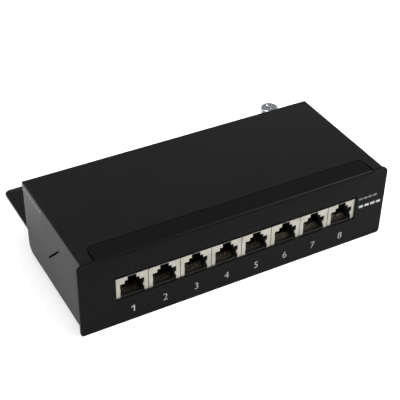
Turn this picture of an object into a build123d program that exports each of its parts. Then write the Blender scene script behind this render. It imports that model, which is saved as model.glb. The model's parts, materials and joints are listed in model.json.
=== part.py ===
from build123d import *
import os
from math import atan2, cos, degrees, hypot, radians, sin

# A desktop patch panel: a front panel with a row of shielded modular jacks, welded to a tray
# that carries the wiring side, and a cover that slides on from behind.
# Millimetres. X to the right, Y to the rear, Z up. The origin is the centre of the
# underside of the bounding box. "Depth" always means the distance behind the front face.

# ---- overall sizes
panel_width = 164.0
panel_height = 40.5
overall_depth = 118.2
chassis_sheet = 1.2
cover_sheet = 0.8
front_y = -overall_depth / 2
overcut = 1.0

# ---- front panel and tray
panel_top_radius = 3.2
panel_bottom_radius = 1.8
bend_outer_radius = 1.7
bend_inner_radius = 0.5
tab_half_width = 73.0
tab_depth = 11.0
tab_corner_radius = 2.6
tray_half_width = 75.0
tray_corner_radius = 3.2
floor_half_width = 78.7
front_flange_height = 9.0
side_flange_height = 12.0
side_flange_start = 3.0
side_flange_end = 60.0
side_flange_corner = 8.0
ear_inner_x = 63.0
ear_outer_x = 74.0
ear_top = 37.4
small_corner_radius = 2.0

# ---- cover
cover_half_width = 79.9
cover_front = 1.3
cover_rear = 70.2
cover_wall_bottom = 0.75
cover_bend_outer = 1.0
cover_bend_inner = 0.2
cover_seam = 0.15
cover_wall_low_rear = 68.2
cover_wall_step_height = 13.5
cover_wall_corner = 4.8
notch_gap_rear = 0.38
notch_gap_front = 1.15
tuck_gap = 0.2
tuck_front = 4.0
tuck_side_gap = 1.0
rear_lip_bottom = 35.0
lug_bottom = 31.0
lug_inner_x = 64.0
lug_outer_x = 75.5
vent_slot_centre_depth = 33.2
vent_slot_centre_height = 22.7
vent_slot_length = 19.4
vent_slot_width = 1.0
vent_slot_angle = 44.5
cover_screw_x = 69.5
cover_screw_z = 34.4
cover_screw_length = 5.0
cover_screw_clearance = 0.2

# ---- port row
port_count = 8
port_pitch = 16.16
row_left = 18.0 - panel_width / 2
row_right = row_left + port_count * port_pitch
port_xs = [row_left + (index + 0.5) * port_pitch for index in range(port_count)]
cutout_left = -64.5
cutout_right = 65.2
cutout_bottom = 14.0
cutout_top = 27.7

# ---- jack
jack_width = 15.9
jack_top = 25.85
jack_face = 0.9
jack_back = 21.4
jack_nose_depth = 0.6
jack_nose_bottom = 14.05
shield_wall = 0.3
shield_roof_start = 4.6
shield_clear = 0.1
cavity_floor = 14.7
cavity_back = 14.5
latch_back = 9.5
# widths and top heights of the stepped socket, from the plug's body up to its latch
socket_steps = [(11.7, 22.0), (7.1, 23.6), (4.2, 25.55)]
finger_bottom = 17.0
finger_top = 19.1
finger_sheet = 0.25
finger_bulge = 0.45
# distances behind the jack's face at which the finger is fully in, turns out, and ends
finger_stations = [0.4, 1.0, 2.6]
finger_slot_depth = 3.2
finger_slot_width = 0.6
contact_pitch = 1.02
contact_count = 8
contact_pocket_start = 1.6
contact_pocket_end = 3.9
contact_pocket_drop = 1.4
contact_pocket_margin = 0.3
contact_wire = 0.35
# (depth, height) points of a contact wire: foot, pivot, bend and free end
contact_points = [(2.7, 14.05), (2.7, 14.95), (4.4, 16.8), (10.5, 20.1)]

# ---- circuit board
board_thickness = 1.6
board_top = 12.4
board_bottom = board_top - board_thickness
board_margin = 2.5
board_front = 2.6
board_rear = 62.0
board_corner = 1.5
board_hole_clearance = 0.15
standoff_radius = 3.0
standoff_spigot_radius = 2.1
thread_radius = 1.5
board_screw_inset = 3.4
board_screw_depths = [24.8, 58.6]
board_screw_xs = [row_left + board_screw_inset, (row_left + row_right) / 2, row_right - board_screw_inset]
board_screw_length = 6.0
board_screw_tip_gap = 0.5

# ---- pan-head screws; shares are of the head's height or of its recess's radius
screw_head_radius = 2.7
screw_head_height = 2.0
screw_recess_radius = 1.5
head_edge_share = 0.45
recess_depth_share = 0.55
recess_arm_share = 0.42
recess_tip_share = 0.3
recess_mouth_share = 1.3

# ---- punch-down terminal blocks
idc_half_width = 7.7
idc_front = 28.2
idc_rear = 53.4
idc_base_top = 18.0
idc_top = 26.6
idc_top_chamfer = 1.2
idc_row_depth = 8.4
idc_slot_pitch = 3.4
idc_slots_per_row = 4
idc_slot_width = 1.2
idc_blade_width = 1.0
idc_blade_top = 24.6
idc_blade_slit = 0.36
idc_blade_slit_rise = 1.6
idc_blade_spread = 2.4

# ---- rear of the tray
comb_half_width = 58.0
comb_front = 92.0
comb_base_depth = 10.0
comb_height = 11.4
comb_sheet = 1.2
comb_post_pitch = 14.4
comb_stem_width = 5.0
comb_head_width = 8.6
comb_stem_bottom = 3.4
comb_head_bottom = 8.6
comb_rivet_xs = [-43.2, 0.0, 43.2]
rivet_shank_radius = 1.6
rivet_tail_height = 0.1
rivet_head_radius = 3.0
rivet_head_height = 0.9
rivet_edge_share = 0.7
mount_hole_radius = 2.25
mount_hole_x = 50.0
mount_hole_depths = [80.0, 112.0]

# ---- earth terminal
earth_x = 69.3
earth_depth = 87.7
earth_head_top = 29.6
earth_head_height = 3.6
earth_head_radius = 4.85
earth_head_edge_share = 0.3
earth_recess_radius = 2.6
earth_shank_radius = 2.5
earth_shank_end = 15.2
earth_shank_chamfer = 0.5
earth_thread_clearance = 0.06
earth_arm_clearance = 0.3
spring_washer_radius = 4.4
spring_washer_clearance = 0.1
spring_washer_thickness = 1.2
spring_washer_gap = 0.9
spring_washer_gap_angle = 35.0
flat_washer_radius = 4.8
flat_washer_clearance = 0.15
flat_washer_thickness = 0.8
bracket_width = 9.4
bracket_sheet = 1.4
bracket_upright_front = 80.5
bracket_foot_front = 70.5
nut_height = 3.8
nut_across_flats = 8.0


def at(depth):
    """The Y of a distance behind the front face."""
    return front_y + depth


def block(x_low, x_high, depth_low, depth_high, z_low, z_high):
    """A box given by its limits, with depths behind the front face."""
    size = (x_high - x_low, depth_high - depth_low, z_high - z_low)
    centre = ((x_low + x_high) / 2, at((depth_low + depth_high) / 2), (z_low + z_high) / 2)
    return Pos(*centre) * Box(*size)


def upright(radius, x, depth, z_low, z_high):
    """A cylinder with a vertical axis."""
    return Pos(x, at(depth), (z_low + z_high) / 2) * Cylinder(radius, z_high - z_low)


def rod(radius, x, z, depth_low, depth_high):
    """A cylinder whose axis runs from front to back."""
    middle = Pos(x, at((depth_low + depth_high) / 2), z)
    return middle * Rot(90, 0, 0) * Cylinder(radius, depth_high - depth_low)


def rod_across(radius, depth, z, half_length):
    """A cylinder whose axis runs from side to side, centred on x = 0."""
    return Pos(0, at(depth), z) * Rot(0, 90, 0) * Cylinder(radius, 2 * half_length)


def side_outline(points, rounded, x_low, x_high):
    """A (depth, height) outline with chosen corners rounded, extruded from x_low to x_high."""
    corners = [(0, at(depth), height) for depth, height in points]
    outline = make_face(Polyline(*corners, close=True))
    for (depth, height), radius in rounded:
        corner = outline.vertices().sort_by_distance((0, at(depth), height))[0]
        outline = fillet(corner, radius)
    return Pos(x_low, 0, 0) * extrude(outline, amount=x_high - x_low, dir=(1, 0, 0))


def front_outline(sketch, depth_low, depth_high):
    """A sketch drawn in x and height, extruded between two depths."""
    plane = Plane.XZ.offset(-at(depth_low))
    return extrude(plane * sketch, amount=depth_high - depth_low, dir=(0, 1, 0))


def top_outline(sketch, z_low, z_high):
    """A sketch drawn in x and y, extruded upwards."""
    return extrude(Plane.XY.offset(z_low) * sketch, amount=z_high - z_low, dir=(0, 0, 1))


def rectangle(x_low, x_high, y_low, y_high):
    """A rectangle sketch given by its limits."""
    return Pos((x_low + x_high) / 2, (y_low + y_high) / 2) * Rectangle(x_high - x_low, y_high - y_low)


def rounded_at(sketch, corners, radius):
    """The sketch with its corners nearest to the given points rounded."""
    for x, y in corners:
        sketch = fillet(sketch.vertices().sort_by_distance((x, y, 0))[0], radius)
    return sketch


def mirrored(shape):
    """The shape and its mirror image in the plane x = 0."""
    return shape + mirror(shape, about=Plane.YZ)


# ---- front panel and tray ---------------------------------------------------------------
def make_top_tab():
    """The tab folded back from the panel's top edge, with rounded rear corners."""
    low = panel_height - chassis_sheet
    bend_low = panel_height - bend_outer_radius
    points = [(0, bend_low), (chassis_sheet, bend_low), (chassis_sheet, low),
              (tab_depth, low), (tab_depth, panel_height), (0, panel_height)]
    rounded = [((0, panel_height), bend_outer_radius), ((chassis_sheet, low), bend_inner_radius)]
    tab = side_outline(points, rounded, -tab_half_width, tab_half_width)
    plan = rectangle(-tab_half_width, tab_half_width, at(0), at(tab_depth))
    rear_corners = [(-tab_half_width, at(tab_depth)), (tab_half_width, at(tab_depth))]
    plan = rounded_at(plan, rear_corners, tab_corner_radius)
    return tab & top_outline(plan, 0, panel_height)


def make_front_panel():
    """The front plate, its top tab, and the long cut-out for the row of jacks."""
    half = panel_width / 2
    outline = rectangle(-half, half, 0, panel_height)
    outline = rounded_at(outline, [(-half, panel_height), (half, panel_height)], panel_top_radius)
    outline = rounded_at(outline, [(-half, 0), (half, 0)], panel_bottom_radius)
    plate = front_outline(outline, 0, chassis_sheet)
    plate -= block(-tab_half_width, tab_half_width, 0, chassis_sheet,
                   panel_height - bend_outer_radius, panel_height)
    plate -= block(cutout_left, cutout_right, -overcut, chassis_sheet + overcut, cutout_bottom, cutout_top)
    return plate + make_top_tab()


def make_ear():
    """The upright at one rear corner that takes a cover screw."""
    rear = cover_rear - cover_sheet
    plate = rectangle(ear_inner_x, ear_outer_x, 0, ear_top)
    plate = rounded_at(plate, [(ear_inner_x, ear_top), (ear_outer_x, ear_top)], small_corner_radius)
    ear = front_outline(plate, rear - chassis_sheet, rear)
    return ear - rod(thread_radius, cover_screw_x, cover_screw_z, rear - 2 * chassis_sheet, rear + overcut)


def make_tray_sheet():
    """The floor with a front flange behind the panel, narrower where it leaves the cover."""
    inner_depth = 2 * chassis_sheet
    points = [(chassis_sheet, 0), (overall_depth, 0), (overall_depth, chassis_sheet),
              (inner_depth, chassis_sheet), (inner_depth, front_flange_height),
              (chassis_sheet, front_flange_height)]
    rounded = [((chassis_sheet, 0), bend_outer_radius), ((inner_depth, chassis_sheet), bend_inner_radius)]
    sheet = side_outline(points, rounded, -floor_half_width, floor_half_width)
    plan = rectangle(-floor_half_width, floor_half_width, at(0), at(side_flange_end))
    plan += rectangle(-tray_half_width, tray_half_width, at(side_flange_end) - overcut, at(overall_depth))
    rear_corners = [(-tray_half_width, at(overall_depth)), (tray_half_width, at(overall_depth))]
    plan = rounded_at(plan, rear_corners, tray_corner_radius)
    return sheet & top_outline(plan, 0, panel_height)


def make_side_flange():
    """One low flange along the floor's side, inside the cover's wall."""
    points = [(side_flange_start, 0), (side_flange_end, 0),
              (side_flange_end, side_flange_height), (side_flange_start, side_flange_height)]
    rounded = [((side_flange_end, side_flange_height), side_flange_corner)]
    return side_outline(points, rounded, floor_half_width - chassis_sheet, floor_half_width)


def make_bottom_tray():
    """The tray: floor, flanges and ears, with the holes for pillars, rivets and wall screws."""
    tray = make_tray_sheet() + mirrored(make_side_flange()) + mirrored(make_ear())
    mount_xs = (-mount_hole_x, mount_hole_x)
    holes = [(x, depth, mount_hole_radius) for x in mount_xs for depth in mount_hole_depths]
    holes += [(x, depth, standoff_spigot_radius) for x in board_screw_xs for depth in board_screw_depths]
    holes += [(x, comb_rivet_depth(), rivet_shank_radius) for x in comb_rivet_xs]
    holes += [(earth_x, earth_rivet_depth(), rivet_shank_radius)]
    for x, depth, radius in holes:
        tray -= upright(radius, x, depth, -overcut, chassis_sheet + overcut)
    return tray


# ---- cover ------------------------------------------------------------------------------
def rounded_form(inset, front, bottom, bend_radius):
    """A solid form set in from the cover's faces, with its top edges at the sides and rear rounded."""
    half = cover_half_width - inset
    rear = cover_rear - inset
    top = panel_height - inset
    outline = rounded_at(rectangle(-half, half, bottom, top), [(-half, top), (half, top)], bend_radius)
    profile = [(front, bottom), (rear, bottom), (rear, top), (front, top)]
    profile_form = side_outline(profile, [((rear, top), bend_radius)], -half, half)
    return front_outline(outline, front, rear) & profile_form


def make_rear_window():
    """What is cut away below the rear lip, apart from a screw lug at each end."""
    width = cover_half_width + overcut
    window = rectangle(-width, width, 0, rear_lip_bottom)
    for low, high in ((-lug_outer_x, -lug_inner_x), (lug_inner_x, lug_outer_x)):
        lug = rectangle(low, high, lug_bottom, rear_lip_bottom)
        window -= rounded_at(lug, [(low, lug_bottom), (high, lug_bottom)], small_corner_radius)
    return front_outline(window, cover_rear - cover_sheet - cover_seam, cover_rear + overcut)


def make_lip_seam():
    """The thin gap between the right side wall's rear end and the lip in front of which it stops."""
    lip_front = cover_rear - cover_sheet
    return block(cover_half_width - cover_sheet, cover_half_width + overcut, lip_front - cover_seam,
                 lip_front, 0, panel_height - cover_sheet)


def make_cover_profile():
    """The cover seen from the side, with the step and the rounded corner at the walls' rear ends."""
    top = panel_height + overcut
    rear = cover_rear + overcut
    points = [(cover_front, cover_wall_bottom), (cover_wall_low_rear, cover_wall_bottom),
              (cover_wall_low_rear, cover_wall_step_height), (rear, cover_wall_step_height),
              (rear, top), (cover_front, top)]
    rounded = [((cover_wall_low_rear, cover_wall_bottom), cover_wall_corner)]
    width = cover_half_width + overcut
    return side_outline(points, rounded, -width, width)


def make_cover_shell():
    """Top, sides and rear lip, bent from one sheet."""
    shell = rounded_form(0, cover_front, cover_wall_bottom, cover_bend_outer)
    shell -= rounded_form(cover_sheet, cover_front - overcut, cover_wall_bottom - overcut, cover_bend_inner)
    shell -= make_rear_window()
    shell -= mirrored(make_lip_seam())
    for x in (-cover_screw_x, cover_screw_x):
        shell -= rod(thread_radius + cover_screw_clearance, x, cover_screw_z,
                     cover_rear - cover_sheet - overcut, cover_rear + overcut)
    return shell & make_cover_profile()


def make_tab_notch():
    """The space for the panel's tab, cut from the cover's top plate."""
    front_x = tab_half_width + notch_gap_front
    rear_x = tab_half_width + notch_gap_rear
    rear = tab_depth + notch_gap_rear
    corners = [(-front_x, at(0)), (front_x, at(0)), (rear_x, at(rear)), (-rear_x, at(rear))]
    plan = make_face(Polyline(*corners, close=True))
    plan = rounded_at(plan, [(rear_x, at(rear)), (-rear_x, at(rear))], tab_corner_radius + notch_gap_rear)
    return top_outline(plan, panel_height - 2 * cover_sheet, panel_height + overcut)


def make_tuck_strip():
    """The joggled strip of the cover that slides under the panel's tab."""
    top = panel_height - chassis_sheet - tuck_gap
    low = top - cover_sheet
    joggle_top = panel_height - cover_sheet / 2
    front = tab_depth + notch_gap_rear
    rear = front + cover_sheet
    half = tab_half_width - tuck_side_gap
    points = [(tuck_front, low), (rear, low), (rear, joggle_top), (front, joggle_top), (front, top),
              (tuck_front, top)]
    plan = rectangle(-half, half, at(tuck_front), at(rear))
    plan = rounded_at(plan, [(-half, at(tuck_front)), (half, at(tuck_front))], small_corner_radius)
    return side_outline(points, [], -half, half) & top_outline(plan, 0, panel_height)


def make_vent_slot():
    """The slanted slot, cut through both side walls."""
    width = cover_half_width + overcut
    angle = radians(vent_slot_angle)
    plane = Plane(origin=(-width, at(vent_slot_centre_depth), vent_slot_centre_height),
                  x_dir=(0, cos(angle), -sin(angle)), z_dir=(1, 0, 0))
    slot = plane * SlotOverall(vent_slot_length, vent_slot_width)
    return extrude(slot, amount=2 * width, dir=(1, 0, 0))


def make_cover():
    """The removable cover."""
    return make_cover_shell() - make_tab_notch() + make_tuck_strip() - make_vent_slot()


# ---- screws -----------------------------------------------------------------------------
def make_pan_head(radius, height, edge_share, recess_radius):
    """A pan head standing on z = 0, with a rounded edge, a cross recess, and no shank."""
    standing = (Align.CENTER, Align.CENTER, Align.MIN)
    head = Cylinder(radius, height, align=standing)
    head = fillet(head.edges().sort_by(Axis.Z)[-1], edge_share * height)
    arm = Box(2 * recess_radius, recess_arm_share * recess_radius, height, align=standing)
    taper = Cone(recess_tip_share * recess_radius, recess_mouth_share * recess_radius, height, align=standing)
    recess = (arm + Rot(0, 0, 90) * arm) & taper
    return head - Pos(0, 0, (1 - recess_depth_share) * height) * recess


def make_small_head():
    """The head of a cover screw or board screw."""
    return make_pan_head(screw_head_radius, screw_head_height, head_edge_share, screw_recess_radius)


def make_cover_screws():
    """Two pan-head screws that hold the cover's lugs to the tray's ears."""
    screws = []
    for x in (-cover_screw_x, cover_screw_x):
        head = Pos(x, at(cover_rear), cover_screw_z) * Rot(-90, 0, 0) * make_small_head()
        shank = rod(thread_radius, x, cover_screw_z, cover_rear - cover_screw_length, cover_rear)
        screws.append(head + shank)
    return Compound(screws)


# ---- circuit board ----------------------------------------------------------------------
def make_board():
    """The circuit board that carries the jacks and the terminal blocks."""
    plan = rectangle(row_left - board_margin, row_right + board_margin, at(board_front), at(board_rear))
    plan = fillet(plan.vertices(), board_corner)
    board = top_outline(plan, board_bottom, board_top)
    for x in board_screw_xs:
        for depth in board_screw_depths:
            board -= upright(thread_radius + board_hole_clearance, x, depth, board_bottom - overcut,
                             board_top + overcut)
    return board


def make_standoffs():
    """Threaded pillars pressed into the tray."""
    bore_bottom = board_top - board_screw_length
    pillars = []
    for x in board_screw_xs:
        for depth in board_screw_depths:
            pillar = upright(standoff_radius, x, depth, chassis_sheet, board_bottom)
            pillar += upright(standoff_spigot_radius, x, depth, 0, chassis_sheet)
            pillars.append(pillar - upright(thread_radius, x, depth, bore_bottom, board_top))
    return Compound(pillars)


def make_board_screws():
    """Pan-head screws down through the board into the pillars."""
    tip = board_top - board_screw_length + board_screw_tip_gap
    screws = []
    for x in board_screw_xs:
        for depth in board_screw_depths:
            head = Pos(x, at(depth), board_top) * make_small_head()
            screws.append(head + upright(thread_radius, x, depth, tip, board_top))
    return Compound(screws)


# ---- jacks, each made at x = 0 ----------------------------------------------------------
def socket_sketch(floor, clearance):
    """The stepped socket outline in x and height."""
    outline = Sketch()
    for width, top in socket_steps:
        half = width / 2 + clearance
        outline += rectangle(-half, half, floor, top + clearance)
    return outline


def jack_body(inset):
    """The jack's outer form, a nose in the panel's cut-out and a body behind, set in by a wall."""
    half = jack_width / 2 - inset
    top = jack_top - inset
    nose_end = jack_face + jack_nose_depth + inset
    nose = block(-half, half, jack_face + inset, nose_end, jack_nose_bottom + inset, top)
    return nose + block(-half, half, nose_end, jack_back - inset, board_top, top)


def make_shield_finger():
    """The right one of the two sprung fingers that run back from the opening's sides."""
    edge = socket_steps[0][0] / 2 + shield_clear
    inward, outward, end = [at(jack_face + station) for station in finger_stations]
    crest = edge - finger_bulge
    inner = [(edge, at(jack_face)), (crest, inward), (crest, outward), (edge, end)]
    outer = [(x + finger_sheet, y) for x, y in reversed(inner)]
    return top_outline(make_face(Polyline(*inner, *outer, close=True)), finger_bottom, finger_top)


def make_jack_shield():
    """The nickel-silver can around one jack, open below and above its front end, with a sprung
    finger at each side of the socket."""
    opening = front_outline(socket_sketch(jack_nose_bottom - overcut, shield_clear), 0,
                            jack_face + shield_wall + shield_clear)
    half = jack_width / 2 - shield_wall
    roof_gap = block(-half, half, jack_face + shield_wall, shield_roof_start, jack_top - shield_wall,
                     jack_top + overcut)
    return jack_body(0) - jack_body(shield_wall) - opening - roof_gap + mirrored(make_shield_finger())


def make_jack_insert():
    """The black moulding inside the can, with the stepped socket and the contact pocket."""
    insert = jack_body(shield_wall)
    half_plug = socket_steps[0][0] / 2
    plug_top = socket_steps[0][1]
    half_latch = socket_steps[-1][0] / 2
    insert -= block(-half_plug, half_plug, 0, cavity_back, cavity_floor, plug_top)
    insert -= front_outline(socket_sketch(cavity_floor, 0), 0, latch_back)
    insert -= block(-half_latch, half_latch, 0, latch_back, plug_top, jack_top)
    half_pocket = contact_count * contact_pitch / 2 + contact_pocket_margin
    insert -= block(-half_pocket, half_pocket, contact_pocket_start, contact_pocket_end,
                    cavity_floor - contact_pocket_drop, plug_top)
    finger_slot = block(half_plug - shield_clear, half_plug + finger_slot_width, 0,
                        jack_face + finger_slot_depth, finger_bottom - shield_clear,
                        finger_top + shield_clear)
    return insert - mirrored(finger_slot)


def make_contact_wire():
    """One bent spring wire of square section, with round joints between its straight runs."""
    half = contact_wire / 2
    wire = Part()
    for (depth, height), (next_depth, next_height) in zip(contact_points, contact_points[1:]):
        rise = degrees(atan2(next_height - height, next_depth - depth))
        length = hypot(next_depth - depth, next_height - height)
        run = Box(contact_wire, length, contact_wire, align=(Align.CENTER, Align.MIN, Align.CENTER))
        wire += Pos(0, at(depth), height) * Rot(rise, 0, 0) * run
    for depth, height in contact_points[1:-1]:
        wire += rod_across(half, depth, height, half)
    return wire


def make_jack_contacts():
    """Eight sprung wires that rise to the rear from the pocket in the socket's floor."""
    wire = make_contact_wire()
    middle = (contact_count - 1) / 2
    return Compound([Pos((index - middle) * contact_pitch, 0, 0) * wire for index in range(contact_count)])


# ---- punch-down terminal blocks, each made at x = 0 -------------------------------------
def idc_row_depths():
    """The front and rear limits of the two rows of slots."""
    return [(idc_front, idc_front + idc_row_depth), (idc_rear - idc_row_depth, idc_rear)]


def idc_slot_xs():
    """The middles of one row's slots."""
    middle = (idc_slots_per_row - 1) / 2
    return [(index - middle) * idc_slot_pitch for index in range(idc_slots_per_row)]


def make_idc_block():
    """A moulded block with two rows of wire slots and a valley between them."""
    terminal = block(-idc_half_width, idc_half_width, idc_front, idc_rear, board_top, idc_base_top)
    for row_front, row_rear in idc_row_depths():
        row = block(-idc_half_width, idc_half_width, row_front, row_rear, idc_base_top, idc_top)
        row = chamfer(row.edges().filter_by(Axis.X).group_by(Axis.Z)[-1], idc_top_chamfer)
        for slot_x in idc_slot_xs():
            row -= block(slot_x - idc_slot_width / 2, slot_x + idc_slot_width / 2,
                         row_front - overcut, row_rear + overcut, idc_base_top, idc_top + overcut)
        terminal += row
    return terminal


def make_idc_contacts():
    """One slit blade standing in each wire slot."""
    slit_bottom = idc_base_top + idc_blade_slit_rise
    blades = []
    for row_front, row_rear in idc_row_depths():
        middle = (row_front + row_rear) / 2
        blade = block(-idc_blade_width / 2, idc_blade_width / 2, middle - idc_blade_spread / 2,
                      middle + idc_blade_spread / 2, idc_base_top, idc_blade_top)
        blade -= block(-idc_blade_width, idc_blade_width, middle - idc_blade_slit / 2,
                       middle + idc_blade_slit / 2, slit_bottom, idc_blade_top + overcut)
        blades += [Pos(slot_x, 0, 0) * blade for slot_x in idc_slot_xs()]
    return Compound(blades)


# ---- strain relief ----------------------------------------------------------------------
def comb_rivet_depth():
    """The depth of the comb's rivets, in the middle of its foot."""
    return comb_front + comb_sheet + (comb_base_depth - comb_sheet) / 2


def comb_gaps():
    """The outline of everything cut from the comb's upright, which leaves a row of T posts."""
    floor = chassis_sheet
    top = floor + comb_height + overcut
    half = comb_half_width + overcut
    gaps = rectangle(-half, half, floor + comb_stem_bottom, top)
    for index in range(port_count):
        post_x = (index - (port_count - 1) / 2) * comb_post_pitch
        gaps -= rectangle(post_x - comb_stem_width / 2, post_x + comb_stem_width / 2, floor, top)
        gaps -= rectangle(post_x - comb_head_width / 2, post_x + comb_head_width / 2,
                          floor + comb_head_bottom, top)
    return gaps


def make_strain_relief_comb():
    """An angle strip whose upright is cut into T posts that cable ties hook around."""
    floor = chassis_sheet
    upright_rear = comb_front + comb_sheet
    points = [(comb_front, floor), (comb_front + comb_base_depth, floor),
              (comb_front + comb_base_depth, floor + comb_sheet), (upright_rear, floor + comb_sheet),
              (upright_rear, floor + comb_height), (comb_front, floor + comb_height)]
    rounded = [((comb_front, floor), bend_outer_radius),
               ((upright_rear, floor + comb_sheet), bend_inner_radius)]
    strip = side_outline(points, rounded, -comb_half_width, comb_half_width)
    strip -= front_outline(comb_gaps(), comb_front - overcut, upright_rear + overcut)
    for x in comb_rivet_xs:
        strip -= upright(rivet_shank_radius, x, comb_rivet_depth(), 0, floor + 2 * comb_sheet)
    return strip


def make_rivet(x, depth, sheet_top):
    """A blind rivet: a low domed flange on the upper sheet, and a shank down through the tray."""
    flange = Cylinder(rivet_head_radius, rivet_head_height, align=(Align.CENTER, Align.CENTER, Align.MIN))
    flange = fillet(flange.edges().sort_by(Axis.Z)[-1], rivet_edge_share * rivet_head_height)
    shank = upright(rivet_shank_radius, x, depth, rivet_tail_height, sheet_top)
    return Pos(x, at(depth), sheet_top) * flange + shank


def make_comb_rivets():
    """The rivets through the comb's foot."""
    top = chassis_sheet + comb_sheet
    return Compound([make_rivet(x, comb_rivet_depth(), top) for x in comb_rivet_xs])


# ---- earth terminal ---------------------------------------------------------------------
def earth_seat():
    """The height of the bracket's upper face, under the washers."""
    return earth_head_top - earth_head_height - spring_washer_thickness - flat_washer_thickness


def earth_rivet_depth():
    """The depth of the bracket's rivet, in the middle of its foot."""
    return (bracket_foot_front + bracket_upright_front) / 2


def make_earth_bracket():
    """A Z-shaped bracket: a foot on the tray, an upright, and an arm that carries the screw."""
    floor = chassis_sheet
    seat = earth_seat()
    under = seat - bracket_sheet
    front = bracket_upright_front
    rear = front + bracket_sheet
    arm_end = earth_depth + bracket_width / 2
    points = [(bracket_foot_front, floor), (rear, floor), (rear, under), (arm_end, under),
              (arm_end, seat), (front, seat), (front, floor + bracket_sheet),
              (bracket_foot_front, floor + bracket_sheet)]
    rounded = [((rear, floor), bend_outer_radius), ((front, floor + bracket_sheet), bend_inner_radius),
               ((front, seat), bend_outer_radius), ((rear, under), bend_inner_radius)]
    left = earth_x - bracket_width / 2
    right = earth_x + bracket_width / 2
    bracket = side_outline(points, rounded, left, right)
    plan = rectangle(left, right, at(bracket_foot_front), at(earth_depth))
    plan = rounded_at(plan, [(left, at(bracket_foot_front)), (right, at(bracket_foot_front))],
                      small_corner_radius)
    plan += Pos(earth_x, at(earth_depth)) * Circle(bracket_width / 2)
    bracket &= top_outline(plan, 0, panel_height)
    bracket -= upright(earth_shank_radius + earth_arm_clearance, earth_x, earth_depth, under - overcut,
                       seat + overcut)
    return bracket - upright(rivet_shank_radius, earth_x, earth_rivet_depth(), 0, floor + 2 * bracket_sheet)


def make_earth_screw():
    """The earth terminal's pan-head screw."""
    bottom = earth_head_top - earth_head_height
    head = make_pan_head(earth_head_radius, earth_head_height, earth_head_edge_share, earth_recess_radius)
    shank = upright(earth_shank_radius, earth_x, earth_depth, earth_shank_end, bottom)
    shank = chamfer(shank.edges().sort_by(Axis.Z)[0], earth_shank_chamfer)
    return Pos(earth_x, at(earth_depth), bottom) * head + shank


def make_washer(radius, clearance, z_low, z_high):
    """A plain ring around the earth screw."""
    ring = upright(radius, earth_x, earth_depth, z_low, z_high)
    return ring - upright(earth_shank_radius + clearance, earth_x, earth_depth, z_low - overcut,
                          z_high + overcut)


def make_spring_washer():
    """A split lock washer."""
    top = earth_head_top - earth_head_height
    washer = make_washer(spring_washer_radius, spring_washer_clearance, top - spring_washer_thickness, top)
    cut = Box(2 * spring_washer_radius, spring_washer_gap, 3 * spring_washer_thickness,
              align=(Align.MIN, Align.CENTER, Align.CENTER))
    return washer - Pos(earth_x, at(earth_depth), top) * Rot(0, 0, spring_washer_gap_angle) * cut


def make_flat_washer():
    """A plain washer on the bracket's arm."""
    return make_washer(flat_washer_radius, flat_washer_clearance, earth_seat(),
                       earth_seat() + flat_washer_thickness)


def make_earth_nut():
    """A hexagon nut fixed under the bracket's arm."""
    top = earth_seat() - bracket_sheet
    bottom = top - nut_height
    plan = Pos(earth_x, at(earth_depth)) * RegularPolygon(nut_across_flats / 2, 6, major_radius=False)
    bore = upright(earth_shank_radius + earth_thread_clearance, earth_x, earth_depth, bottom - overcut,
                   top + overcut)
    return top_outline(plan, bottom, top) - bore


def make_all_nodes():
    """Every node of the assembly by name."""
    nodes = {
        "front_panel": make_front_panel(),
        "bottom_tray": make_bottom_tray(),
        "top_cover": make_cover(),
        "cover_screws": make_cover_screws(),
        "pcb": make_board(),
        "pcb_standoffs": make_standoffs(),
        "pcb_screws": make_board_screws(),
        "strain_relief_comb": make_strain_relief_comb(),
        "comb_rivets": make_comb_rivets(),
        "earth_bracket": make_earth_bracket(),
        "earth_rivet": make_rivet(earth_x, earth_rivet_depth(), chassis_sheet + bracket_sheet),
        "earth_screw": make_earth_screw(),
        "earth_spring_washer": make_spring_washer(),
        "earth_flat_washer": make_flat_washer(),
        "earth_nut": make_earth_nut(),
    }
    per_port = {
        "jack_shield": make_jack_shield(),
        "jack_insert": make_jack_insert(),
        "jack_contacts": make_jack_contacts(),
        "idc_block": make_idc_block(),
        "idc_contacts": make_idc_contacts(),
    }
    for number, x in enumerate(port_xs, start=1):
        for name, shape in per_port.items():
            nodes[f"{name}_{number}"] = Pos(x, 0, 0) * shape
    return nodes


os.makedirs("parts", exist_ok=True)
for name, shape in make_all_nodes().items():
    export_step(shape, f"parts/{name}.step")
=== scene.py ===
"""Looks of the desktop patch panel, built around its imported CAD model. Metres, the CAD's own frame."""
import json
import math

import bmesh
import bpy
from mathutils import Matrix, Vector

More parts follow.
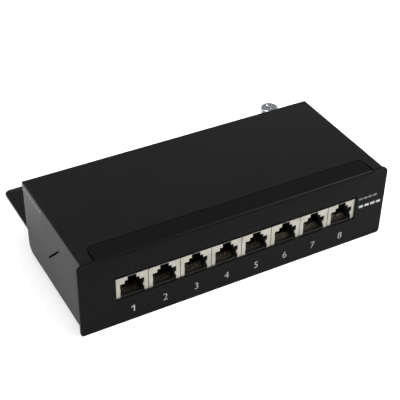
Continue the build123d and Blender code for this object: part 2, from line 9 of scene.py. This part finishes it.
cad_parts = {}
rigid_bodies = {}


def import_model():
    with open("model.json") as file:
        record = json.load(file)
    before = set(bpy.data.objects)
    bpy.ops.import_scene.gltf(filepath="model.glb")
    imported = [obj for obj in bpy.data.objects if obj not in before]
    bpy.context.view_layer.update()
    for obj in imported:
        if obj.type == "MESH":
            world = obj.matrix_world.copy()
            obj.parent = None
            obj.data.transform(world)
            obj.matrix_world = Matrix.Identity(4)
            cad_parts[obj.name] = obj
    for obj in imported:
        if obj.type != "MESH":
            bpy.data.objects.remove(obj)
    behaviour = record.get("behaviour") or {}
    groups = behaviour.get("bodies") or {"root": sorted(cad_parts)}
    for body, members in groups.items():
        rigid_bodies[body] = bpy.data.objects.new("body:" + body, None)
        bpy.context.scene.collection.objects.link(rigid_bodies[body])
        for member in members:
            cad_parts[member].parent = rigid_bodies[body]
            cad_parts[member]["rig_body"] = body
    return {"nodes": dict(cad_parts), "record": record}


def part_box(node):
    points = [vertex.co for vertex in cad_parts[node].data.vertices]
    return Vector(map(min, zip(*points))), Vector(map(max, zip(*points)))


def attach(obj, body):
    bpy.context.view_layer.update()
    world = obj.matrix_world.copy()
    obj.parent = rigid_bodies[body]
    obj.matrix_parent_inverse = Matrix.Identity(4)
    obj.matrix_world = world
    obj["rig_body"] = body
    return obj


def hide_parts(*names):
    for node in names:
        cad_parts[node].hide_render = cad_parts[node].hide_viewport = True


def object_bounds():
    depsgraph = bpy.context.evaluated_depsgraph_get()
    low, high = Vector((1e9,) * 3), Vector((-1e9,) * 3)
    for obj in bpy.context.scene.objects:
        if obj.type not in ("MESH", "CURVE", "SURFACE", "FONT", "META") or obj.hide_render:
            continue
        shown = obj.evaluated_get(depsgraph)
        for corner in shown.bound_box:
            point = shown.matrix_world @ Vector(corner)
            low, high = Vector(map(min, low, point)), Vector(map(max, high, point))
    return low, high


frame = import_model()
cad_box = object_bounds()
MM = 0.001
PORTS = range(1, 9)
FRONT_Y = cad_box[0][1]

# ---- camera, floor and light ------------------------------------------------------------
CAMERA_PLACE = Vector((-0.1986, -0.3693, 0.3239))
CAMERA_HEADING = math.radians(29.55)
CAMERA_DOWN = math.radians(36.9)
CAMERA_ROLL = math.radians(1.25)
CAMERA_NEAR = 0.01
# The lens and the sensor are in millimetres, as Blender has them.
CAMERA_LENS = 92.04
SENSOR = 36.0
FLOOR_HALF = 1.2
FLOOR_GREYS = (0.90, 0.92)
# The sine of the elevation where the cove starts to fade and where it stops, and its two levels.
COVE_FADE = (0.08, 0.42)
COVE_LEVELS = (1.0, 0.22)
# For each lamp: its place, the point it faces, its side in metres and its power in watts.
SOFTBOXES = {
    "overhead": ((-0.5, -0.2, 1.6), (0, 0, 0), 1.6, 34),
    "front_right": ((0.66, -0.42, 0.74), (0.03, 0, 0.02), 0.42, 15),
}


def make_camera():
    """A camera at the front left, looking down on the top and the port face."""
    data = bpy.data.cameras.new("camera")
    data.lens = CAMERA_LENS
    data.sensor_width = SENSOR
    data.clip_start = CAMERA_NEAR
    camera = bpy.data.objects.new("camera", data)
    bpy.context.scene.collection.objects.link(camera)
    turn = Matrix.Rotation(-CAMERA_HEADING, 4, "Z")
    tilt = Matrix.Rotation(math.pi / 2 - CAMERA_DOWN, 4, "X")
    roll = Matrix.Rotation(CAMERA_ROLL, 4, "Z")
    camera.matrix_world = Matrix.Translation(CAMERA_PLACE) @ turn @ tilt @ roll
    bpy.context.scene.camera = camera


def make_floor():
    """A plain pale floor."""
    mesh = bpy.data.meshes.new("floor")
    corners = [(FLOOR_HALF * x, FLOOR_HALF * y, 0) for x, y in ((-1, -1), (1, -1), (1, 1), (-1, 1))]
    mesh.from_pydata(corners, [], [(0, 1, 2, 3)])
    floor = bpy.data.objects.new("floor", mesh)
    bpy.context.scene.collection.objects.link(floor)
    material, tree, shader = new_material("pale_floor")
    cloud = noise(tree, object_space(tree), 3)
    low_grey, high_grey = FLOOR_GREYS
    colour = ramp(tree, cloud, NOISE_LOW, NOISE_HIGH, (low_grey,) * 3, (high_grey,) * 3)
    tree.links.new(colour, shader.inputs["Base Color"])
    shader.inputs["Roughness"].default_value = 0.9
    shader.inputs["Specular IOR Level"].default_value = 0.1
    mesh.materials.append(material)


def make_softbox(name, place, target, size, power):
    """A square area light that faces a point."""
    data = bpy.data.lights.new(name, "AREA")
    data.shape = "SQUARE"
    data.size = size
    data.energy = power
    light = bpy.data.objects.new(name, data)
    bpy.context.scene.collection.objects.link(light)
    light.location = place
    light.rotation_euler = (Vector(target) - Vector(place)).to_track_quat("-Z", "Y").to_euler()


def make_surround():
    """A cove that is white at the horizon and dimmer overhead."""
    world = bpy.data.worlds.new("studio")
    world.use_nodes = True
    tree = world.node_tree
    direction = tree.nodes.new("ShaderNodeTexCoord")
    split = tree.nodes.new("ShaderNodeSeparateXYZ")
    tree.links.new(direction.outputs["Generated"], split.inputs["Vector"])
    fade = tree.nodes.new("ShaderNodeValToRGB")
    fade.color_ramp.interpolation = "EASE"
    for element, position, level in zip(fade.color_ramp.elements, COVE_FADE, COVE_LEVELS):
        element.position = position
        element.color = (level, level, level, 1)
    tree.links.new(split.outputs["Z"], fade.inputs["Fac"])
    tree.links.new(fade.outputs["Color"], tree.nodes["Background"].inputs["Color"])
    bpy.context.scene.world = world


def make_lights():
    """The cove and the two lamps, shown without a film curve."""
    make_surround()
    for name, (place, target, size, power) in SOFTBOXES.items():
        make_softbox(name, place, target, size, power)
    bpy.context.scene.view_settings.view_transform = "Standard"


# ---- materials --------------------------------------------------------------------------
# Nearly all of a noise texture's values lie between these two.
NOISE_LOW = 0.3
NOISE_HIGH = 0.7
COAT_DARK = (0.003096, 0.003096, 0.003268)
COAT_PALE = (0.006192, 0.006192, 0.006364)
# How much a metal's grain adds to the cloud that sets its gloss.
GRAIN_SHARE = 0.6


def new_material(name):
    """A node material, its tree and its Principled shader."""
    material = bpy.data.materials.new(name)
    material.use_nodes = True
    shader = material.node_tree.nodes["Principled BSDF"]
    return material, material.node_tree, shader


def object_space(tree, stretch=(1, 1, 1)):
    """Object coordinates, multiplied by a factor along each axis."""
    place = tree.nodes.new("ShaderNodeTexCoord")
    mapping = tree.nodes.new("ShaderNodeMapping")
    mapping.inputs["Scale"].default_value = stretch
    tree.links.new(place.outputs["Object"], mapping.inputs["Vector"])
    return mapping.outputs["Vector"]


def noise(tree, vector, scale, detail=2.0, rough=0.5):
    """A noise value between 0 and 1."""
    node = tree.nodes.new("ShaderNodeTexNoise")
    node.inputs["Scale"].default_value = scale
    node.inputs["Detail"].default_value = detail
    node.inputs["Roughness"].default_value = rough
    tree.links.new(vector, node.inputs["Vector"])
    return node.outputs["Fac"]


def ramp(tree, value, low, high, low_colour, high_colour):
    """A colour that goes from one to another as value goes from low to high."""
    node = tree.nodes.new("ShaderNodeValToRGB")
    node.color_ramp.elements[0].position = low
    node.color_ramp.elements[1].position = high
    node.color_ramp.elements[0].color = (*low_colour, 1)
    node.color_ramp.elements[1].color = (*high_colour, 1)
    tree.links.new(value, node.inputs["Fac"])
    return node.outputs["Color"]


def spread(tree, value, low, high):
    """A noise value mapped to the range from low to high."""
    node = tree.nodes.new("ShaderNodeMapRange")
    node.inputs["From Min"].default_value = NOISE_LOW
    node.inputs["From Max"].default_value = NOISE_HIGH
    node.inputs["To Min"].default_value = low
    node.inputs["To Max"].default_value = high
    tree.links.new(value, node.inputs["Value"])
    return node.outputs["Result"]


def bump(tree, height, distance, strength, before=None):
    """A bump of that height, in metres, on top of an earlier one."""
    node = tree.nodes.new("ShaderNodeBump")
    node.inputs["Distance"].default_value = distance
    node.inputs["Strength"].default_value = strength
    tree.links.new(height, node.inputs["Height"])
    if before is not None:
        tree.links.new(before, node.inputs["Normal"])
    return node.outputs["Normal"]


def powder_coat(name, rough_low, rough_high, gloss):
    """Satin black powder coat: fine orange peel, fine speckle, slightly cloudy gloss."""
    material, tree, shader = new_material(name)
    space = object_space(tree)
    cloud = noise(tree, space, 45, 3)
    grain = noise(tree, space, 2600)
    peel = noise(tree, space, 700, 1)
    tree.links.new(ramp(tree, grain, 0.35, 0.7, COAT_DARK, COAT_PALE), shader.inputs["Base Color"])
    tree.links.new(spread(tree, cloud, rough_low, rough_high), shader.inputs["Roughness"])
    normal = bump(tree, peel, 0.00002, 0.35)
    normal = bump(tree, grain, 0.00001, 0.35, normal)
    tree.links.new(normal, shader.inputs["Normal"])
    shader.inputs["Specular IOR Level"].default_value = gloss
    return material


def metal(name, low_colour, high_colour, rough_low, rough_high, stretch=(1, 1, 1)):
    """A bare or plated metal: cloudy colour and gloss, and a fine grain that stretch can draw out."""
    material, tree, shader = new_material(name)
    space = object_space(tree)
    cloud = noise(tree, space, 160, 4)
    grain = noise(tree, object_space(tree, stretch), 900, 3, 0.6)
    colour = ramp(tree, cloud, NOISE_LOW, NOISE_HIGH, low_colour, high_colour)
    tree.links.new(colour, shader.inputs["Base Color"])
    mixed = tree.nodes.new("ShaderNodeMath")
    mixed.operation = "MULTIPLY_ADD"
    mixed.inputs[1].default_value = GRAIN_SHARE
    tree.links.new(grain, mixed.inputs[0])
    tree.links.new(cloud, mixed.inputs[2])
    tree.links.new(spread(tree, mixed.outputs[0], rough_low, rough_high), shader.inputs["Roughness"])
    tree.links.new(bump(tree, grain, 0.000012, 0.4), shader.inputs["Normal"])
    shader.inputs["Metallic"].default_value = 1.0
    return material


def moulded(name, low_colour, high_colour, rough_low=0.42, rough_high=0.55):
    """Moulded plastic with a fine spark-eroded texture."""
    material, tree, shader = new_material(name)
    space = object_space(tree)
    grain = noise(tree, space, 3200)
    cloud = noise(tree, space, 120, 3)
    colour = ramp(tree, cloud, NOISE_LOW, NOISE_HIGH, low_colour, high_colour)
    tree.links.new(colour, shader.inputs["Base Color"])
    tree.links.new(spread(tree, cloud, rough_low, rough_high), shader.inputs["Roughness"])
    tree.links.new(bump(tree, grain, 0.00001, 0.5), shader.inputs["Normal"])
    return material


def ink(name, low, high):
    """Matt screen-printing ink, a little uneven where the coat's texture shows through."""
    material, tree, shader = new_material(name)
    patch = noise(tree, object_space(tree), 1500, 3)
    tree.links.new(ramp(tree, patch, 0.35, 0.65, low, high), shader.inputs["Base Color"])
    tree.links.new(spread(tree, patch, 0.5, 0.65), shader.inputs["Roughness"])
    tree.links.new(bump(tree, patch, 0.00001, 0.4), shader.inputs["Normal"])
    return material


def make_materials():
    """Every material: the record's slots by name, the front panel's coat (the black coat with less gloss,
    as painted shade), the inks and the track mask.
    """
    return {
        "black_powder_coat": powder_coat("black_powder_coat", 0.36, 0.42, 0.125),
        # The front panel's coat is the black coat with far less gloss, so the front face reads darker:
        # painted shade.
        "shaded_panel_coat": powder_coat("shaded_panel_powder_coat", 0.29, 0.36, 0.028),
        "zinc_plate": metal("zinc_plate", (0.42, 0.47, 0.51), (0.58, 0.62, 0.66), 0.20, 0.34),
        "nickel_shield": metal("nickel_silver", (0.26, 0.25, 0.215), (0.34, 0.325, 0.285), 0.26, 0.40,
                               stretch=(1, 1, 12)),
        # The contacts' gold is painted far darker than gold, as painted shade for the inside of the
        # sockets.
        "gold_contact": metal("gold_contact", (0.05, 0.042, 0.028), (0.16, 0.135, 0.09), 0.12, 0.24),
        "tin_contact": metal("tin_contact", (0.60, 0.60, 0.58), (0.72, 0.72, 0.70), 0.25, 0.40),
        "rivet_aluminium": metal("rivet_aluminium", (0.66, 0.67, 0.68), (0.80, 0.81, 0.82), 0.28, 0.45),
        "black_moulding": moulded("black_moulding", (0.006, 0.006, 0.006), (0.010, 0.010, 0.010)),
        "ivory_moulding": moulded("ivory_moulding", (0.70, 0.69, 0.63), (0.76, 0.75, 0.70), 0.35, 0.45),
        "green_board": moulded("green_board", (0.010, 0.085, 0.035), (0.014, 0.11, 0.045), 0.22, 0.30),
        "print": ink("pale_print", (0.24, 0.24, 0.235), (0.36, 0.36, 0.35)),
        "dim_print": ink("dim_print", (0.075, 0.075, 0.075), (0.12, 0.12, 0.12)),
        "track_mask": moulded("track_mask", (0.020, 0.15, 0.065), (0.026, 0.18, 0.08), 0.22, 0.30),
        "mark_blue": ink("mark_blue", (0.02, 0.08, 0.42), (0.03, 0.11, 0.50)),
        "mark_orange": ink("mark_orange", (0.70, 0.20, 0.02), (0.78, 0.26, 0.03)),
        "mark_green": ink("mark_green", (0.02, 0.26, 0.06), (0.03, 0.32, 0.09)),
        "mark_brown": ink("mark_brown", (0.13, 0.05, 0.02), (0.18, 0.07, 0.03)),
    }


# ---- shapes that several pieces share ---------------------------------------------------
# Corners closer than WELD are joined, faces within FLAT_ANGLE of each other become one face, and edges
# sharper than EDGE_ANGLE are rounded.
WELD = 0.002 * MM
FLAT_ANGLE = math.radians(0.5)
EDGE_ANGLE = math.radians(30)
EDGE_SEGMENTS = 2
# These have wide faces with many holes. The bevel keeps such faces whole if they are split into triangles.
PIERCED_NODES = ("bottom_tray", "jack_shield")
PRINT_THICKNESS = 0.03 * MM
# A figure is drawn at this size with its strokes thinned, and then scaled to its height.
FONT_SIZE = 10 * MM
FONT_THINNING = 0.16 * MM


def new_piece(name, mesh, material, body):
    """A mesh as a piece that rides on a body and may take its finish from a slot of the record."""
    piece = bpy.data.objects.new(name, mesh)
    bpy.context.scene.collection.objects.link(piece)
    mesh.materials.clear()
    mesh.materials.append(material)
    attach(piece, body)
    return piece


def edged(node, material, width):
    """A copy of a CAD node with its sharp edges slightly rounded, shown in place of the node."""
    source = frame["nodes"][node]
    mesh = source.data.copy()
    mesh.name = f"{node}_edged"
    shape = bmesh.new()
    shape.from_mesh(mesh)
    bmesh.ops.remove_doubles(shape, verts=shape.verts, dist=WELD)
    bmesh.ops.dissolve_limit(shape, angle_limit=FLAT_ANGLE, verts=shape.verts, edges=shape.edges)
    if node.startswith(PIERCED_NODES):
        bmesh.ops.triangulate(shape, faces=shape.faces)
    shape.to_mesh(mesh)
    shape.free()
    mesh.shade_smooth()
    mesh.set_sharp_from_angle(angle=EDGE_ANGLE)
    draft = bpy.data.objects.new(f"{node}_draft", mesh)
    bpy.context.scene.collection.objects.link(draft)
    bevel = draft.modifiers.new("edges", "BEVEL")
    bevel.width = width
    bevel.segments = EDGE_SEGMENTS
    bevel.limit_method = "ANGLE"
    bevel.angle_limit = EDGE_ANGLE
    bevel.harden_normals = True
    graph = bpy.context.evaluated_depsgraph_get()
    result = bpy.data.meshes.new_from_object(draft.evaluated_get(graph))
    bpy.data.objects.remove(draft)
    piece = new_piece(f"{node}_edged", result, material, source["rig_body"])
    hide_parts(node)


def prism_mesh(name, outlines):
    """Thin printed shapes with their backs on the XY plane; each outline is a list of (x, y) points."""
    shape = bmesh.new()
    for outline in outlines:
        base = shape.faces.new([shape.verts.new((x, y, 0)) for x, y in outline])
        extruded = bmesh.ops.extrude_face_region(shape, geom=[base])
        lifted = [item for item in extruded["geom"] if isinstance(item, bmesh.types.BMVert)]
        bmesh.ops.translate(shape, verts=lifted, vec=(0, 0, PRINT_THICKNESS))
    bmesh.ops.recalc_face_normals(shape, faces=shape.faces)
    mesh = bpy.data.meshes.new(name)
    shape.to_mesh(mesh)
    shape.free()
    return mesh


def one_mesh(height):
    """The figure 1 with a slanting flag, which the built-in font leaves out."""
    stem = 0.15 * height
    flag = 0.30 * height
    top = height / 2
    outline = [(0, -top), (stem, -top), (stem, top), (0.4 * stem, top), (-flag, top - 0.75 * flag),
               (-flag, top - 0.75 * flag - stem), (0, top - 1.25 * stem)]
    return prism_mesh("figure", [outline])


def digit_mesh(text, height):
    """A thin printed figure, centred on the origin in the XY plane."""
    if text == "1":
        return one_mesh(height)
    curve = bpy.data.curves.new("figure", "FONT")
    curve.body = text
    curve.size = FONT_SIZE
    curve.offset = -FONT_THINNING
    curve.extrude = PRINT_THICKNESS / 2
    draft = bpy.data.objects.new("figure_draft", curve)
    bpy.context.scene.collection.objects.link(draft)
    graph = bpy.context.evaluated_depsgraph_get()
    mesh = bpy.data.meshes.new_from_object(draft.evaluated_get(graph))
    bpy.data.objects.remove(draft)
    low = Vector([min(vertex.co[axis] for vertex in mesh.vertices) for axis in range(3)])
    high = Vector([max(vertex.co[axis] for vertex in mesh.vertices) for axis in range(3)])
    scale = height / (high.y - low.y)
    back = Vector(((low.x + high.x) / 2, (low.y + high.y) / 2, low.z))
    mesh.transform(Matrix.Diagonal((scale, scale, 1, 1)) @ Matrix.Translation(-back))
    return mesh


def square_outline(x, y, length, width):
    """A bar with square ends, as an outline."""
    return [(x - length / 2, y - width / 2), (x + length / 2, y - width / 2),
            (x + length / 2, y + width / 2), (x - length / 2, y + width / 2)]


def printed(name, outlines, place, material, body):
    """Thin printed shapes put on a surface."""
    mesh = prism_mesh(name, outlines)
    mesh.transform(place)
    new_piece(name, mesh, material, body)


def on_front(x, z):
    """Puts what is drawn in XY on the panel's front face, upright."""
    return Matrix.Translation((x, FRONT_Y, z)) @ Matrix.Rotation(math.pi / 2, 4, "X")


def on_left(y, z):
    """Puts what is drawn in XY on the cover's left wall, upright, with its X towards the front."""
    wall_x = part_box("top_cover")[0].x
    turn = Matrix.Rotation(-math.pi / 2, 4, "Z") @ Matrix.Rotation(math.pi / 2, 4, "X")
    return Matrix.Translation((wall_x, y, z)) @ turn


def middle_x(node):
    """The X of a node's middle."""
    low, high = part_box(node)
    return (low.x + high.x) / 2


# ---- what is printed on the front panel and the cover -----------------------------------
PORT_NUMBER_HEIGHT = 3.7 * MM
PORT_NUMBER_Z = 6.65 * MM
FRONT_LABEL_BARS = 4
UPPER_LABEL_ENDS = (66.2 * MM, 77.6 * MM)
UPPER_LABEL_Z = 25.3 * MM
LOWER_LABEL_ENDS = (66.6 * MM, 80.4 * MM)
LOWER_LABEL_Z = 20.6 * MM
SIDE_LABEL_BARS = 6
SIDE_LABEL_ENDS = (-11.5 * MM, 11.5 * MM)
SIDE_LABEL_DEPTH = 57.5 * MM
SIDE_LABEL_Z = 37.4 * MM


def make_port_numbers(material):
    """The figures 1 to 8 under the ports."""
    for number in PORTS:
        mesh = digit_mesh(str(number), PORT_NUMBER_HEIGHT)
        mesh.transform(on_front(middle_x(f"jack_shield_{number}"), PORT_NUMBER_Z))
        new_piece(f"port_number_{number}", mesh, material, "chassis")


def label_row(ends, count, gap, height):
    """A row of bars between two places, which stands for a printed word."""
    first, last = ends
    pitch = (last - first) / count
    return [square_outline(first + (index + 0.5) * pitch, 0, pitch - gap, height) for index in range(count)]


def make_labels(materials):
    """Rows of bars right of the last port and on the left wall."""
    upper = label_row(UPPER_LABEL_ENDS, FRONT_LABEL_BARS, gap=0.7 * MM, height=1.1 * MM)
    printed("front_label_upper", upper, on_front(0, UPPER_LABEL_Z), materials["dim_print"], "chassis")
    lower = label_row(LOWER_LABEL_ENDS, FRONT_LABEL_BARS, gap=0.9 * MM, height=1.4 * MM)
    printed("front_label_lower", lower, on_front(0, LOWER_LABEL_Z), materials["print"], "chassis")
    side = label_row(SIDE_LABEL_ENDS, SIDE_LABEL_BARS, gap=1.2 * MM, height=1.9 * MM)
    wall = on_left(FRONT_Y + SIDE_LABEL_DEPTH, SIDE_LABEL_Z)
    printed("side_label", side, wall, materials["dim_print"], "cover")


# ---- what is printed and plated on the board and its blocks -----------------------------
SLOT_PITCH = 3.4 * MM
PAIR_COLOURS = ("blue", "orange", "green", "brown")
MARK_SIZE = (2.3 * MM, 1.5 * MM)
VALLEY_FLOOR_Z = 18.0 * MM
VALLEY_MARK_SIDE = 2.6 * MM
REAR_MARK_Z = 16.6 * MM
# On the board, what is printed and plated is placed by how far it lies behind the block.
LEGEND_WIDTH = 0.2 * MM
LEGEND_GAP = 0.5 * MM
PAD_COUNT = 8
PAD_PITCH = 1.75 * MM
PAD_RADIUS = 0.5 * MM
PAD_HOLE = 0.24 * MM
PAD_GAP = 1.9 * MM
TRACK_WIDTH = 0.3 * MM
BOARD_NUMBER_HEIGHT = 2.0 * MM
BOARD_NUMBER_GAP = 4.6 * MM
BOARD_NUMBER_SIDE = 4.5 * MM
RING_STEPS = 16


def centred_row(count, pitch):
    """Evenly spaced places, with their middle at zero."""
    return [(index - (count - 1) / 2) * pitch for index in range(count)]


def on_top(x, y, z):
    """Puts what is drawn in XY on a surface that faces up, to be read from the rear."""
    return Matrix.Translation((x, y, z)) @ Matrix.Rotation(math.pi, 4, "Z")


def make_wire_marks(materials):
    """Colour marks for the four wire pairs, in each block's valley and on its rear face."""
    for colour, offset in zip(PAIR_COLOURS, centred_row(len(PAIR_COLOURS), SLOT_PITCH)):
        material = materials[f"mark_{colour}"]
        valley_pair = [square_outline(offset, side * VALLEY_MARK_SIDE, *MARK_SIZE) for side in (-1, 1)]
        rear_mark = [square_outline(offset, REAR_MARK_Z, *MARK_SIZE)]
        for number in PORTS:
            low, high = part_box(f"idc_block_{number}")
            x = middle_x(f"idc_block_{number}")
            valley = on_top(x, (low.y + high.y) / 2, VALLEY_FLOOR_Z)
            printed(f"valley_mark_{colour}_{number}", valley_pair, valley, material, "chassis")
            rear = on_top(x, high.y, 0) @ Matrix.Rotation(math.pi / 2, 4, "X")
            printed(f"rear_mark_{colour}_{number}", rear_mark, rear, material, "chassis")


def ring_mesh(name, centres, outer, inner):
    """Thin flat rings with open middles, lying on the XY plane."""
    turns = [2 * math.pi * step / RING_STEPS for step in range(RING_STEPS)]
    section = ((inner, 0), (outer, 0), (outer, PRINT_THICKNESS), (inner, PRINT_THICKNESS))
    shape = bmesh.new()
    for x, y in centres:
        loops = []
        for radius, z in section:
            points = [(x + radius * math.cos(turn), y + radius * math.sin(turn), z) for turn in turns]
            loops.append([shape.verts.new(point) for point in points])
        for index, loop in enumerate(loops):
            following = loops[(index + 1) % len(loops)]
            for step in range(RING_STEPS):
                ahead = (step + 1) % RING_STEPS
                shape.faces.new((loop[step], loop[ahead], following[ahead], following[step]))
    bmesh.ops.recalc_face_normals(shape, faces=shape.faces)
    mesh = bpy.data.meshes.new(name)
    shape.to_mesh(mesh)
    shape.free()
    return mesh


def make_board_print(materials):
    """Behind each block on the board: a legend line, a number, test pads and the tracks to them."""
    board_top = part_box("pcb")[1].z
    pad_xs = centred_row(PAD_COUNT, PAD_PITCH)
    pads = [(pad_x, PAD_GAP) for pad_x in pad_xs]
    track_length = PAD_GAP - PAD_RADIUS
    tracks = [square_outline(pad_x, track_length / 2, TRACK_WIDTH, track_length) for pad_x in pad_xs]
    for number in PORTS:
        low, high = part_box(f"idc_block_{number}")
        x = middle_x(f"idc_block_{number}")
        place = Matrix.Translation((x, high.y, board_top))
        legend = [square_outline(0, LEGEND_GAP, high.x - low.x, LEGEND_WIDTH)]
        printed(f"board_legend_{number}", legend, place, materials["print"], "chassis")
        figure = digit_mesh(str(number), BOARD_NUMBER_HEIGHT)
        figure.transform(on_top(x + BOARD_NUMBER_SIDE, high.y + BOARD_NUMBER_GAP, board_top))
        new_piece(f"board_number_{number}", figure, materials["print"], "chassis")
        rings = ring_mesh(f"test_pads_{number}", pads, PAD_RADIUS, PAD_HOLE)
        rings.transform(place)
        new_piece(f"test_pads_{number}", rings, materials["tin_contact"], "chassis")
        printed(f"board_tracks_{number}", tracks, place, materials["track_mask"], "chassis")


# ---- the CAD nodes ----------------------------------------------------------------------
# The width of the rounding on each node's sharp edges. Nodes that are in neither list keep theirs sharp.
EDGE_WIDTHS = {
    "top_cover": 0.12 * MM, "front_panel": 0.12 * MM, "bottom_tray": 0.12 * MM,
    "strain_relief_comb": 0.15 * MM, "earth_bracket": 0.15 * MM, "earth_screw": 0.12 * MM,
    "earth_nut": 0.2 * MM, "earth_flat_washer": 0.1 * MM, "earth_spring_washer": 0.15 * MM,
    "cover_screws": 0.08 * MM, "pcb_screws": 0.08 * MM, "pcb": 0.08 * MM,
}
PORT_EDGE_WIDTHS = {
    "jack_shield": 0.06 * MM, "jack_insert": 0.08 * MM, "jack_contacts": 0.09 * MM,
    "idc_block": 0.15 * MM, "idc_contacts": 0.06 * MM,
}


def show_cad_nodes(materials):
    """Every CAD node in its material: as a copy with rounded edges, or as it is."""
    widths = dict(EDGE_WIDTHS)
    for number in PORTS:
        for name, width in PORT_EDGE_WIDTHS.items():
            widths[f"{name}_{number}"] = width
    for part in frame["record"]["subparts"]:
        node = part["node"]
        slot = part["material_slot"]
        # The front panel gets the less glossy copy of the black coat, as painted shade on its face.
        material = materials["shaded_panel_coat"] if node == "front_panel" else materials[slot]
        if node in widths:
            edged(node, material, widths[node])
        else:
            mesh = frame["nodes"][node].data
            mesh.materials.clear()
            mesh.materials.append(material)


def main():
    """The whole scene: stage, CAD nodes and printed pieces."""
    make_camera()
    make_floor()
    make_lights()
    materials = make_materials()
    show_cad_nodes(materials)
    make_port_numbers(materials["print"])
    make_labels(materials)
    make_wire_marks(materials)
    make_board_print(materials)


main()
